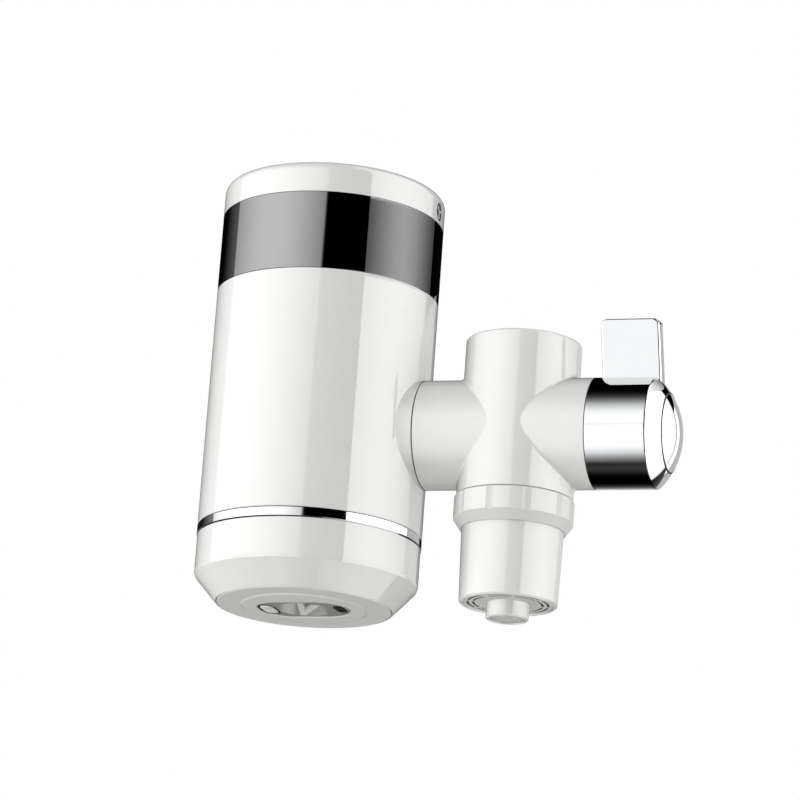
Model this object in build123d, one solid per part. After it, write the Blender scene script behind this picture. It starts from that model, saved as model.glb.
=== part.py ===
from build123d import *
import math
import os

os.makedirs("parts", exist_ok=True)

# Electric instant water heater tap, in millimetres.
# The origin is the centre of the mouth of the inlet socket, which screws up on to a kitchen spout.
# +X runs along the arms towards the lever, +Y to the back and +Z up.

# Clearances
seam = 0.3  # gap that shows between two moulded parts
slip = 0.1  # play of a part in its seat
turn_gap = 0.3  # play between parts that move past each other
film = 0.1  # grease film between the two ceramic discs

# Valve body
lever_arm_r = 16.8
arm_step = 0.2  # how much slimmer the heater's arm is
tube_proud = 0.7  # tube's side out past the lever arm's
tube_skirt = 3.2  # lever arm's underside down to the underside of the tube
arm_drop = 28.3  # inlet mouth down to the arm axis
lever_arm_reach = 24.0  # valve axis to the end of the lever's arm
body_blend = 1.0  # rounding where the arms run into the tube
mouth_round = 0.8

# Inlet socket
thread_r = 11.0  # M22 x 1 female
insert_r = 14.0
insert_len = 12.0
insert_key = 0.6  # depth of the groove that keys the insert into the plastic
washer_t = 2.0
washer_hole_r = 8.5
screen_r = 9.8
screen_t = 0.5
screen_hole_r = 0.8
screen_rings = ((0, 1), (2.4, 6), (4.8, 12), (7.2, 18))  # radius and number of holes
plenum_depth = 0.6

# Cartridge
chamber_r = 12.0
chamber_floor = 4.0  # X of the floor that the cartridge seals on
port_ring_r = 7.2
port_r = 2.3
centre_port_r = 2.6
seal_t = 1.5
disc_t = 3.0
moving_disc_r = 10.6
groove_depth = 1.5
carrier_t = 2.5
stem_r = 4.0
stem_flat = 3.2  # half the width across the stem's flats
bonnet_inset = 6.0  # end of the lever's arm in to the cartridge housing's outer face
oring_wire = 0.88
nut_t = 5.0
nut_hole_r = 6.5
nut_slot = 1.5  # depth of the nut's spanner slot

# Body passages
inlet_bore_r = 4.0
inlet_bore_x = -2.0
stream_bore_r = 3.0
spray_bore_inset = 6.2  # stub's side in to the spray bore's axis
neck_pool = 1.5  # room between the union tube's tip and the end of its bore

# Lever
hub_len = 18.3
dome_rise = 7.3
cap_inset = 4.95  # hub's side in to the cap's edge
cap_t = 1.6
hub_wall = 2.4
hub_boss_r = 7.2
hub_boss_start = 2.0  # hub's open end in to its boss
stem_grip = 8.8  # length of stem in the boss
hub_web_t = 3.0
hub_edge = 0.8
cap_ledge = 1.2  # width of the ledge that the cap sits on
blade_width = 18.0
blade_t = 5.0
blade_rise = 17.6  # hub's side out to the blade's top edge
blade_start = 0.6  # blade's left edge, in from the hub's end, at the top
blade_lean = 3.6  # degrees that the blade leans towards the valve
blade_tilt = 7.5  # degrees that it leans forward at rest
blade_corner = 2.0
blade_round = 0.6
screw_r = 1.95
screw_head_r = 3.8
screw_head_t = 2.4
screw_slot = 1.2  # depth of the cross slot

# Outlet
stub_inset = 1.1  # sleeve's side in to the stub's
stub_len = 3.9
collar_proud = 0.5  # collar's side out past the tube's
collar_len = 9.9
collar_bevel = 3.0
flute_count = 10
flute_turn = 9.4  # degrees from the lever's side round to the first flute
flute_r = 4.0
flute_depth = 0.25
sleeve_inset = 2.7  # collar's side in to the top of the sleeve's
sleeve_taper = 0.6
sleeve_len = 32.2  # collar's top edge down to the sleeve's end
sleeve_wall = 1.3
flange_proud = 0.7  # flange's edge out past the sleeve's side
flange_t = 1.5
gasket_t = 1.0
stream_tube_r = 4.4
stream_tube_wall = 1.2
plate_t = 3.0
plate_setback = 0.3
slot_insets = (3.1, 1.4)  # sleeve's bore in to each ring of slots
slot_w = 0.7
slots_per_ring = 8
slot_rib_deg = 7.0
nozzle_r = 6.4
nozzle_drop = 4.5
nozzle_neck_r = 5.5
mesh_r = 5.4
mesh_t = 0.6
mesh_pitch = 1.5
mesh_hole_r = 0.5
mesh_lip = 0.6  # wall of the mesh's cup
mesh_depth = 2.0  # depth of the nozzle's mouth
socket_depth = 3.0  # stream tube's grip in the nozzle
nozzle_collar = 4.0  # nozzle's neck above the spray plate

# Heater shells
neck_reach = 28.7  # valve axis to the joint with the heater
heater_r = 34.0
boss_stand = 0.8  # boss face out past the heater's side
heater_rise = 77.4  # arm axis up to the top of the heater
cap_height = 9.9
cap_edge_r = 2.8
band_height = 24.3
ring_drop = 30.6  # arm axis down to the trim ring
ring_height = 3.1
base_step = 0.2  # heater's side in to the base's
base_skirt = 11.8
base_bevel = 7.8
base_land = 0.2  # flat edge where the bevel meets the rosette
rosette_inset = 7.6  # heater's side in to the rosette's edge
wall = 2.6
band_t = 1.6
boss_root = 6.0  # boss's foot in past the heater's side
spigot_inset = 2.8  # heater's side in to the spigot's
spigot_wall = 1.6
spigot_top = 6.3  # spigot's reach above the band
cap_screw_up = 3.8  # cap's lower edge up to the cap screws
cap_screw_pocket_r = 3.1
cap_screw_pocket = 1.4
cap_screw_head_r = 2.7
cap_screw_head_t = 1.0
cap_screw_shank_r = 1.3
cap_screw_len = 6.0
lug_w = 8.0

# Rosette and grille
rosette_t = 2.6
rosette_proud = 0.2
swell_inset = 7.1  # rosette's edge in to the foot of the shallow swell round the mouth
swell_rise = 0.7
mouth_len = 28.6
mouth_width = 18.7
shelf_t = 2.0
shelf_inset = 4.9  # rosette's edge in to the shelf's bore
support_wall = 2.0
grille_r = 15.6
grille_t = 1.2
grille_rim = 1.6
grille_spacer = 1.4
grille_setback = 0.15  # mouth's rim in to the face of the grille
window_r = 8.1
web_w = 1.6
web_t = 1.4
web_tip = (-2.6, 7.6)  # where the web's two bars meet, from the heater axis
web_ends = ((1.2, -8.0), (7.2, -7.0))
boss_x = -11.0  # lens-shaped boss at the mouth's left end
boss_half = (2.1, 5.4)
boss_groove = 0.5
side_hole_x = 11.5  # slot at the mouth's right end
side_hole_len = 8.4
side_hole_w = 3.2
cup_wall = 1.5
pipe_r = 6.4
pipe_wall = 1.8
pipe_flange_t = 1.5
pipe_rise = 12.0
pipe_groove = 1.1
pipe_groove_w = 1.6

# Neck
union_r = 8.5
union_bore_r = 5.6
union_stop_r = 4.4
union_flange_r = 12.0
union_flange_t = 2.5
union_reach = 16.7  # joint face into the valve's arm
union_tip = 1.5  # tube's end in past the tank's socket
nut_gap = 0.5  # union nut to the tank's socket
oring_groove_r = 6.9
oring_setback = 4.0  # tube's end to its seal groove in the valve's arm
oring_w = 1.8
pad_depth = 5.3  # joint face in to the flat pad inside the housing
pad_half = 14.0
pad_rise = 21.0
union_nut_af = 20.5
union_nut_t = 4.0
piston_r = 5.3
piston_len = 9.0
piston_stop = 7.7  # joint face out to the piston's stop
piston_hole_r = 0.9
magnet_r = 2.6
magnet_len = 6.0
piston_travel = 4.0
spring_r = 4.2
spring_wire_r = 0.3
spring_turns = 6
clip_t = 2.0
clip_hole_r = 3.0
reed_len = 16.0
reed_h = 4.0
reed_w = 5.0
reed_pin_r = 0.4
reed_pin_len = 3.0
reed_up = 15.0

# Tank and electrics
tank_wall = 1.6
tank_floor = 39.7  # arm axis down to the underside of the tank
tank_top = 49.3  # arm axis up to the tank's flange face
tank_flange_gap = 0.6  # tank's flange to the spigot round it
tank_flange_t = 2.5
lid_t = 3.0
tank_seal_inset = 0.1  # tank's side in to the middle of the seal
tank_seal_w = 1.6
tank_seal_t = 1.2
lid_screw_inset = 2.4  # tank flange's edge in to the lid screws
lid_screw_count = 6
lid_screw_r = 1.4
lid_screw_head_r = 2.2
lid_screw_head_t = 2.0
lid_screw_len = 5.0
socket_r = 11.5
socket_len = 6.0
socket_stand = 1.5
tank_boss_r = 8.5
tank_boss_len = 6.0
element_r = 3.0
element_x = 8.5
element_back = 11.0  # terminal block's middle to the element's legs
element_low = 76.0  # tank flange face down to the element's lower bends
element_high = 14.0  # tank flange face down to its upper bend
element_tail = 6.0
terminal_r = 1.5
terminal_len = 6.0
bush_r = 4.2
bush_t = 2.5
cutout_r = 7.5
cutout_h = 5.0
cutout_y = 12.0
tab_x = 4.5
tab_w = 6.3
tab_t = 0.8
tab_h = 4.0
block_len = 26.0
block_w = 9.0
block_h = 9.0
block_inset = 8.6  # ring of lid screws in to the terminal block's middle
block_screw_r = 1.8
block_floor = 3.0
board_inset = 9.0  # tank flange's edge in to the board's end
board_w = 20.0
board_t = 1.6
board_y = 9.0
board_up = 11.0
post_r = 2.0
post_inset = 3.0
relay_len = 18.0
relay_w = 11.0
relay_h = 6.8
relay_shift = -3.0  # relay's middle from the board's, along Y
gland_inset = 16.0  # heater's side in to the gland's axis
gland_r = 5.8
gland_bore_r = 4.1
gland_flange_r = 8.2
gland_flange_t = 2.0
gland_nose = 7.0
gland_nut_t = 1.8
lead_r = 0.9
lead_arch = 7.0

# Places worked out from the sizes above
tube_r = lever_arm_r + tube_proud
heater_arm_r = lever_arm_r - arm_step
arm_z = -arm_drop
foot_z = arm_z - lever_arm_r - tube_skirt
joint_x = -neck_reach
heater_x = joint_x - boss_stand - heater_r
hub_start = lever_arm_reach + seam
hub_end = hub_start + hub_len
dome_r = (lever_arm_r**2 + dome_rise**2) / (2 * dome_rise)
dome_x = hub_end + dome_rise - dome_r
cap_r = lever_arm_r - cap_inset
blade_top = lever_arm_r + blade_rise
collar_r = tube_r + collar_proud
sleeve_top_r = collar_r - sleeve_inset
sleeve_end_r = sleeve_top_r - sleeve_taper
sleeve_bore_r = sleeve_end_r - sleeve_wall
flange_r = sleeve_top_r + flange_proud
stub_r = sleeve_top_r - stub_inset
spray_bore_y = stub_r - spray_bore_inset
bonnet_front = lever_arm_reach - bonnet_inset
slot_rings = [sleeve_bore_r - inset for inset in slot_insets]
collar_top = foot_z - seam
collar_end = collar_top - collar_len
sleeve_end = collar_top - sleeve_len
stub_end = foot_z - stub_len
flange_top = stub_end - gasket_t
heater_top = arm_z + heater_rise
band_top = heater_top - cap_height
band_low = band_top - band_height
ring_top = arm_z - ring_drop
base_top = ring_top - ring_height
base_corner = base_top - base_skirt
base_end = base_corner - base_bevel
rosette_r = heater_r - rosette_inset
swell_r = rosette_r - swell_inset
shelf_bore_r = rosette_r - shelf_inset
shelf_z = base_end + rosette_t
face_z = base_end - rosette_proud
swell_ball_r = (swell_r**2 + swell_rise**2) / (2 * swell_rise)
grille_face_z = face_z - swell_rise + (mouth_width / 2) ** 2 / (2 * swell_ball_r) + grille_setback
inner_r = heater_r - wall
spigot_r = heater_r - spigot_inset
spigot_bore_r = spigot_r - spigot_wall
gland_y = heater_r - gland_inset
tank_r = heater_r + boss_stand - pad_depth - union_nut_t - nut_gap - socket_stand
tank_flange_r = spigot_bore_r - tank_flange_gap
tank_seal_r = tank_r - tank_seal_inset
lid_screw_ring = tank_flange_r - lid_screw_inset
block_y = block_inset - lid_screw_ring
element_y = -block_y - element_back
board_len = 2 * (tank_flange_r - board_inset)
union_tail = pad_depth + union_nut_t + nut_gap + socket_len + union_tip
tank_low = arm_z - tank_floor
lid_low = arm_z + tank_top
lid_top = lid_low + lid_t
pad_x = joint_x - pad_depth
clutch_x = chamber_floor + seal_t
moving_x = clutch_x + disc_t + film
carrier_x = moving_x + disc_t
carrier_end = carrier_x + carrier_t


def bar_z(radius, low, high, x=0.0, y=0.0):
    """Upright cylinder between two heights."""
    return Pos(x, y, (low + high) / 2) * Cylinder(radius, abs(high - low))


def bar_x(radius, left, right, y=0.0, z=arm_z):
    """Level cylinder along X between two places."""
    return Pos((left + right) / 2, y, z) * Rot(0, 90, 0) * Cylinder(radius, abs(right - left))


def bar_y(radius, front, back, x, z):
    """Level cylinder along Y between two places."""
    return Pos(x, (front + back) / 2, z) * Rot(90, 0, 0) * Cylinder(radius, abs(back - front))


def block(x1, x2, y1, y2, z1, z2):
    """Box between two corners."""
    return Pos((x1 + x2) / 2, (y1 + y2) / 2, (z1 + z2) / 2) * Box(x2 - x1, y2 - y1, z2 - z1)


def ring_z(outer, inner, low, high, x=0.0, y=0.0):
    """Upright ring."""
    return bar_z(outer, low, high, x, y) - bar_z(inner, low - 1, high + 1, x, y)


def ring_x(outer, inner, left, right, y=0.0, z=arm_z):
    """Ring about an axis along X."""
    return bar_x(outer, left, right, y, z) - bar_x(inner, left - 1, right + 1, y, z)


def lathe(points, x=0.0):
    """Turns a closed outline of (radius, height) points about the upright axis at x."""
    outline = Polyline(*[(x + r, 0, z) for r, z in points], close=True)
    face = make_face(outline.edges())
    return revolve(face, Axis((x, 0, 0), (0, 0, 1)), 360)


def hoop(ring_r, wire_r, place):
    """Round seal ring of round section, about the place's own upright axis."""
    return place * Torus(ring_r, wire_r)


def around(count, start=0.0):
    """Evenly spaced angles in degrees."""
    return [start + 360 * i / count for i in range(count)]


def spot(radius, degrees, x=0.0, y=0.0):
    """Point on a circle about (x, y)."""
    a = math.radians(degrees)
    return x + radius * math.cos(a), y + radius * math.sin(a)


def tilted(part):
    """A part of the lever, turned about the arm axis to where the blade stands at rest."""
    return part.rotate(Axis((0, 0, arm_z), (1, 0, 0)), blade_tilt)


# Valve body: one moulding, an upright tube crossed by two arms, with the socket, the cartridge chamber and
# four drilled ways that join them.
def make_valve_body():
    tube = bar_z(tube_r, foot_z, 0)
    left = bar_x(heater_arm_r, joint_x, 0)
    right = bar_x(lever_arm_r, 0, lever_arm_reach)
    body = tube + left + right
    crossing = [e for e in body.edges() if e.geom_type not in (GeomType.LINE, GeomType.CIRCLE)]
    body = fillet(crossing, body_blend)
    mouth = body.edges().filter_by(GeomType.CIRCLE).sort_by(Axis.Z)[-1]
    body = fillet(mouth, mouth_round)
    body += bar_z(stub_r, stub_end, foot_z + 1)
    washer_z = -insert_len - washer_t
    screen_z = washer_z - screen_t
    body -= bar_z(insert_r + slip / 2, washer_z, 1)
    body -= bar_z(screen_r + slip, screen_z, 0)
    body -= bar_z(washer_hole_r, screen_z - plenum_depth, 0)
    body -= bar_z(inlet_bore_r, arm_z, 0, inlet_bore_x)
    body -= bar_x(chamber_r, chamber_floor, lever_arm_reach + 1)
    body -= bar_x(centre_port_r, inlet_bore_x, chamber_floor + 1)
    body -= bar_x(union_r + slip, joint_x - 1, joint_x + union_reach + neck_pool)
    body -= bar_x(union_flange_r + slip, joint_x - 1, joint_x + union_flange_t)
    heater_way = joint_x + union_reach - 1
    body -= bar_x(port_r, heater_way, chamber_floor + 1, port_ring_r)
    body -= bar_x(port_r, 0, chamber_floor + 1, 0, arm_z - port_ring_r)
    body -= bar_z(stream_bore_r, stub_end - 1, arm_z - port_ring_r)
    body -= bar_z(stream_tube_r + slip / 2, stub_end - 1, stub_end + 2)
    body -= bar_x(port_r, 0, chamber_floor + 1, -port_ring_r)
    body -= bar_z(port_r, stub_end - 1, arm_z, 0, -spray_bore_y)
    return body


def make_inlet_insert():
    insert = ring_z(insert_r, thread_r, -insert_len, 0)
    groove_z = -insert_len / 2
    return insert - ring_z(insert_r + 1, insert_r - insert_key, groove_z - 1, groove_z + 1)


def make_inlet_washer():
    low = -insert_len - washer_t
    return ring_z(insert_r - slip, washer_hole_r, low, -insert_len)


def make_inlet_screen():
    top = -insert_len - washer_t
    screen = bar_z(screen_r, top - screen_t, top)
    holes = []
    for ring_r, count in screen_rings:
        for a in around(count):
            x, y = spot(ring_r, a)
            holes.append(bar_z(screen_hole_r, top - 1, top + 1, x, y))
    return screen - holes


# Cartridge, from the chamber floor outwards: rubber seal, two ceramic discs, stem, housing and nut.
def port_holes(left, right):
    """The four ports through the seal and the fixed disc."""
    ways = [bar_x(centre_port_r, left, right)]
    ways.append(bar_x(port_r, left, right, port_ring_r))
    ways.append(bar_x(port_r, left, right, -port_ring_r))
    ways.append(bar_x(port_r, left, right, 0, arm_z - port_ring_r))
    return ways


def make_cartridge_seal():
    seal = bar_x(chamber_r - slip, chamber_floor, clutch_x)
    return seal - port_holes(chamber_floor - 1, clutch_x + 1)


def make_fixed_disc():
    disc = bar_x(chamber_r - slip, clutch_x, clutch_x + disc_t)
    return disc - port_holes(clutch_x - 1, clutch_x + disc_t + 1)


def make_moving_disc():
    disc = bar_x(moving_disc_r, moving_x, carrier_x)
    groove_end = moving_x + groove_depth
    low = arm_z - port_ring_r
    disc -= block(moving_x - 1, groove_end, -port_r, port_r, low, arm_z)
    disc -= bar_x(port_r, moving_x - 1, groove_end, 0, low)
    disc -= bar_x(port_r, moving_x - 1, groove_end)
    return tilted(disc)


def make_valve_stem():
    stem_end = hub_start + hub_boss_start + stem_grip
    stem = bar_x(moving_disc_r, carrier_x, carrier_end)
    stem += bar_x(stem_r, carrier_x, stem_end)
    for side in (-1, 1):
        flat = block(hub_start + hub_boss_start, stem_end + 1, -stem_r - 1, stem_r + 1, 0, stem_r)
        stem -= flat.moved(Pos(0, 0, arm_z + (stem_flat if side > 0 else -stem_flat - stem_r)))
    stem -= bar_x(screw_r + slip / 2, hub_start + hub_boss_start, stem_end + 1)
    return tilted(stem)


def make_cartridge_housing():
    housing = bar_x(chamber_r - slip, clutch_x + disc_t, bonnet_front)
    housing -= bar_x(moving_disc_r + turn_gap, clutch_x + disc_t - 1, carrier_end + turn_gap)
    housing -= bar_x(stem_r + slip, clutch_x, bonnet_front + 1)
    room = 2 * oring_wire + slip
    return housing - bar_x(stem_r + room, bonnet_front - room, bonnet_front + 1)


def make_stem_oring():
    place = Pos(bonnet_front - oring_wire - slip / 2, 0, arm_z) * Rot(0, 90, 0)
    return hoop(stem_r + oring_wire + slip, oring_wire - slip / 2, place)


def make_cartridge_nut():
    nut = ring_x(chamber_r - slip / 2, nut_hole_r, bonnet_front, bonnet_front + nut_t)
    end = bonnet_front + nut_t
    slot = block(end - nut_slot, end + 1, -1.2, 1.2, -chamber_r, chamber_r)
    return nut - slot.moved(Pos(0, 0, arm_z))


# Lever: chrome hub with a domed end and a flat blade, its screw, and the cap that closes the dome.
web_start = hub_boss_start + stem_grip + slip
web_end = web_start + hub_web_t


def dome_ball(inset=0.0):
    """Ball whose skin is the domed end of the hub."""
    return Pos(dome_x, 0, arm_z) * Rot(0, 90, 0) * Sphere(dome_r - inset)


def make_lever_handle():
    hub = bar_x(lever_arm_r, hub_start, hub_end + dome_rise) & dome_ball()
    shoulder = [e for e in hub.edges().filter_by(GeomType.CIRCLE) if abs(e.center().X - hub_end) < 0.1]
    hub = fillet(shoulder, hub_edge)
    lean = math.tan(math.radians(blade_lean))
    root = lever_arm_r - hub_wall * 0.8
    left_top = hub_start + blade_start
    left_low = left_top + (blade_top - root) * lean
    corners = [
        (left_low, 0, arm_z + root),
        (left_low + blade_width, 0, arm_z + root),
        (left_top + blade_width, 0, arm_z + blade_top),
        (left_top, 0, arm_z + blade_top),
    ]
    face = make_face(Polyline(*corners, close=True).edges())
    blade = extrude(face, blade_t / 2, dir=(0, 1, 0), both=True)
    tips = blade.edges().filter_by(Axis.Y).sort_by(Axis.Z)[-2:]
    blade = fillet(tips, blade_corner)
    rim = [e for e in blade.edges() if abs(e.center().Y) > blade_t / 2 - 0.01]
    blade = fillet([e for e in rim if e.center().Z > arm_z + root + 1], blade_round)
    handle = hub + blade
    handle -= bar_x(lever_arm_r - hub_wall, hub_start - 1, hub_start + web_start)
    handle += bar_x(hub_boss_r, hub_start + hub_boss_start, hub_start + web_start + 1)
    grip = bar_x(stem_r + slip / 2, hub_start, hub_start + web_start)
    flat = stem_flat + slip / 2
    grip &= block(0, hub_end, -chamber_r, chamber_r, arm_z - flat, arm_z + flat)
    handle -= grip
    handle -= bar_x(screw_r + slip, hub_start, hub_end)
    well = bar_x(cap_r - cap_ledge, hub_start + web_end, hub_end + dome_rise + 1)
    seat = bar_x(cap_r + slip, hub_end - hub_len / 2, hub_end + dome_rise + 1) - dome_ball(cap_t)
    handle = handle - well - seat
    return tilted(handle)


def make_index_cap():
    disc = bar_x(cap_r, hub_end - hub_len / 2, hub_end + dome_rise + 1) & dome_ball()
    return tilted(disc - dome_ball(cap_t))


def make_handle_screw():
    seat = hub_start + web_end
    screw = bar_x(screw_r, hub_start + hub_boss_start + 1, seat)
    screw += bar_x(screw_head_r, seat, seat + screw_head_t)
    for turn in (0, 90):
        end = seat + screw_head_t
        slot = block(end - screw_slot, end + 1, -0.5, 0.5, -2.2, 2.2)
        screw -= slot.rotate(Axis.X, turn).moved(Pos(0, 0, arm_z))
    return tilted(screw)


# Outlet: collar nut, sleeve, spray plate with ring slots, and the stream nozzle in its middle.
def make_outlet_collar():
    ledge = flange_top - flange_t
    land = sleeve_top_r + seam
    points = [
        (stub_r + slip, collar_top),
        (collar_r - 0.3, collar_top),
        (collar_r, collar_top - 0.3),
        (collar_r, collar_end + collar_bevel),
        (land + 0.3, collar_end),
        (sleeve_top_r + slip, collar_end),
        (sleeve_top_r + slip, ledge),
        (flange_r + slip, ledge),
        (flange_r + slip, stub_end),
        (stub_r + slip, stub_end),
    ]
    collar = lathe(points)
    for turn in around(flute_count, flute_turn):
        x, y = spot(collar_r - flute_depth + flute_r, turn)
        collar -= bar_z(flute_r, collar_end - 1, collar_top + 1, x, y)
    return collar


def make_outlet_washer():
    inner = spray_bore_y + port_r + 0.9
    return ring_z(stub_r - 0.3, inner, flange_top, stub_end)


def make_outlet_sleeve():
    inner = spray_bore_y + port_r + 1.1
    neck = flange_top - 2
    points = [
        (inner, flange_top),
        (flange_r, flange_top),
        (flange_r, flange_top - flange_t),
        (sleeve_top_r, flange_top - flange_t),
        (sleeve_top_r, collar_end),
        (sleeve_end_r, sleeve_end + 0.5),
        (sleeve_end_r - 0.5, sleeve_end),
        (sleeve_bore_r, sleeve_end),
        (sleeve_bore_r, neck - 1),
        (inner, neck),
    ]
    return lathe(points)


plate_low = sleeve_end + plate_setback
plate_top = plate_low + plate_t
nozzle_end = sleeve_end - nozzle_drop
nozzle_rise = plate_top + nozzle_collar


def make_stream_tube():
    bore = stream_tube_r - stream_tube_wall
    return ring_z(stream_tube_r, bore, nozzle_rise - socket_depth, stub_end + 2)


def make_spray_plate():
    plate = bar_z(sleeve_bore_r - slip, plate_low, plate_top)
    plate -= bar_z(nozzle_neck_r + slip, plate_low - 1, plate_top + 1)
    step = 360 / slots_per_ring
    for ring_r in slot_rings:
        band = ring_z(ring_r + slot_w / 2, ring_r - slot_w / 2, plate_low - 1, plate_top + 1)
        for a in around(slots_per_ring):
            plate -= band & slot_wedge(2 * ring_r, step - slot_rib_deg).rotate(Axis.Z, a)
    return plate


def slot_wedge(reach, degrees):
    """Pie slice about the valve axis, as high as the spray plate."""
    half = math.radians(degrees / 2)
    side = reach * math.tan(half)
    tip = [(0, 0), (reach, -side), (reach, side)]
    face = make_face(Polyline(*tip, close=True).edges())
    return extrude(face, plate_t + 2).moved(Pos(0, 0, plate_low - 1))


def make_stream_nozzle():
    bore = stream_tube_r - stream_tube_wall
    points = [
        (bore, nozzle_end + mesh_depth),
        (mesh_r + slip, nozzle_end + mesh_depth),
        (mesh_r + slip, nozzle_end),
        (nozzle_r - 0.4, nozzle_end),
        (nozzle_r, nozzle_end + 0.4),
        (nozzle_r, plate_low),
        (nozzle_neck_r, plate_low),
        (nozzle_neck_r, nozzle_rise),
        (stream_tube_r + slip / 2, nozzle_rise),
        (stream_tube_r + slip / 2, nozzle_rise - socket_depth),
        (bore, nozzle_rise - socket_depth),
    ]
    return lathe(points)


def make_nozzle_mesh():
    top = nozzle_end + mesh_depth
    low = nozzle_end + seam
    cup = ring_z(mesh_r, mesh_r - mesh_lip, low, top)
    mesh = bar_z(mesh_r, low, low + mesh_t)
    holes = []
    reach = int(mesh_r / mesh_pitch) + 1
    for i in range(-reach, reach + 1):
        for j in range(-reach, reach + 1):
            x = mesh_pitch * (i + j / 2)
            y = mesh_pitch * j * math.sqrt(3) / 2
            if math.hypot(x, y) < mesh_r - mesh_lip - mesh_hole_r:
                holes.append(bar_z(mesh_hole_r, nozzle_end, top, x, y))
    return cup + mesh - holes


# Neck: the union tube carries water from the valve to the tank, clamps the heater on and holds the
# flow piston.
def make_union_tube():
    tail = joint_x - union_tail
    tip = joint_x + union_reach
    stop = joint_x + piston_stop
    tube = bar_x(union_r, tail, tip)
    tube += bar_x(union_flange_r, joint_x, joint_x + union_flange_t)
    tube -= bar_x(union_bore_r, tail - 1, stop)
    tube -= bar_x(union_stop_r, stop - 1, tip + 1)
    for x in oring_places():
        tube -= ring_x(union_r + 1, oring_groove_r, x - oring_w / 2, x + oring_w / 2)
    return tube


def oring_places():
    """Middles of the two seal grooves, one in the valve's arm and one in the tank's socket."""
    socket_face = heater_x + tank_r + socket_stand
    return [joint_x + union_reach - oring_setback, socket_face - socket_len / 2]


def make_union_orings():
    wire = (union_r - oring_groove_r) / 2
    rings = [hoop(oring_groove_r + wire, wire, Pos(x, 0, arm_z) * Rot(0, 90, 0)) for x in oring_places()]
    return Compound(rings)


def make_union_nut():
    face = RegularPolygon(union_nut_af / 2, 6, major_radius=False)
    nut = extrude(face, union_nut_t)
    nut -= Cylinder(union_r + slip / 2, 4 * union_nut_t)
    return Pos(pad_x - union_nut_t, 0, arm_z) * Rot(0, 90, 0) * nut


def make_flow_piston():
    right = joint_x + piston_stop - slip
    left = right - piston_len
    piston = bar_x(piston_r, left, right)
    piston -= bar_x(magnet_r + slip / 2, left + 1.5, left + 1.5 + magnet_len)
    for a in around(4, 45):
        y, z = spot(piston_r - 1.3, a, 0, arm_z)
        piston -= bar_x(piston_hole_r, left - 1, right + 1, y, z)
    return piston


def make_flow_magnet():
    left = joint_x + piston_stop - slip - piston_len + 1.5
    return bar_x(magnet_r, left, left + magnet_len)


def spring_ends():
    """Left and right end of the room that the spring fills at rest."""
    right = joint_x + piston_stop - slip - piston_len
    left = joint_x - union_tail + clip_t + 1.0
    return left, right


def make_flow_spring():
    left, right = spring_ends()
    low = left + spring_wire_r + slip
    length = right - left - 2 * (spring_wire_r + slip)
    path = Helix(length / spring_turns, length, spring_r)
    start = Plane(path @ 0, z_dir=path % 0)
    coil = sweep(start * Circle(spring_wire_r), path, is_frenet=True)
    return Pos(low, 0, arm_z) * Rot(0, 90, 0) * coil


def make_spring_clip():
    left = joint_x - union_tail + 1.0
    return ring_x(union_bore_r - slip / 2, clip_hole_r, left, left + clip_t)


def make_reed_switch():
    half = reed_len / 2
    z = arm_z + reed_up
    x = pad_x - reed_h / 2
    case = block(pad_x - reed_h, pad_x, -half, half, z - reed_w / 2, z + reed_w / 2)
    pins = [bar_y(reed_pin_r, -half - reed_pin_len, -half, x, z)]
    pins.append(bar_y(reed_pin_r, half, half + reed_pin_len, x, z))
    return case + pins


# Heater shells, from the top down: cap, mirror band, housing with the boss, trim ring and base.
def cap_screw_z():
    return band_top + cap_screw_up


def make_top_cap():
    cap = bar_z(heater_r, band_top, heater_top, heater_x)
    top_edge = cap.edges().filter_by(GeomType.CIRCLE).sort_by(Axis.Z)[-1]
    cap = fillet(top_edge, cap_edge_r)
    cap -= bar_z(spigot_r + slip, band_top - 1, heater_top - wall, heater_x)
    cap -= bar_z(gland_r + slip, band_top, heater_top + 1, heater_x, gland_y)
    for side in (-1, 1):
        face = heater_x + side * heater_r
        pocket = face - side * cap_screw_pocket
        cap -= bar_x(cap_screw_pocket_r, pocket, face + side, 0, cap_screw_z())
        cap -= bar_x(cap_screw_shank_r + slip, heater_x + side * spigot_bore_r, face, 0, cap_screw_z())
    return cap


def make_cap_screws():
    screws = []
    for side in (-1, 1):
        seat = heater_x + side * (heater_r - cap_screw_pocket)
        head = bar_x(cap_screw_head_r, seat, seat + side * cap_screw_head_t, 0, cap_screw_z())
        screw = head + bar_x(cap_screw_shank_r, seat - side * cap_screw_len, seat, 0, cap_screw_z())
        for turn in (20, 110):
            slot = block(-0.5, 0.5, -0.45, 0.45, -2.0, 2.0).rotate(Axis.X, turn)
            screw -= slot.moved(Pos(seat + side * cap_screw_head_t, 0, cap_screw_z()))
        screws.append(screw)
    return Compound(screws)


def make_cable_gland():
    top = heater_top + gland_flange_t
    points = [
        (gland_bore_r, heater_top - wall - gland_nut_t - 1),
        (gland_r, heater_top - wall - gland_nut_t - 1),
        (gland_r, heater_top),
        (gland_flange_r, heater_top),
        (gland_flange_r, top - 0.5),
        (gland_flange_r - 0.5, top),
        (gland_r + 0.4, top),
        (gland_r - 0.4, top + gland_nose),
        (gland_bore_r, top + gland_nose),
    ]
    return lathe(points, heater_x).moved(Pos(0, gland_y, 0))


def make_gland_nut():
    high = heater_top - wall
    return ring_z(gland_flange_r - 0.5, gland_r + slip / 2, high - gland_nut_t, high, heater_x, gland_y)


def make_dark_band():
    points = [
        (heater_r - band_t, band_low),
        (heater_r - 0.2, band_low),
        (heater_r, band_low + 0.2),
        (heater_r, band_top - 0.2),
        (heater_r - 0.2, band_top),
        (heater_r - band_t, band_top),
    ]
    return lathe(points, heater_x)


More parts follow.
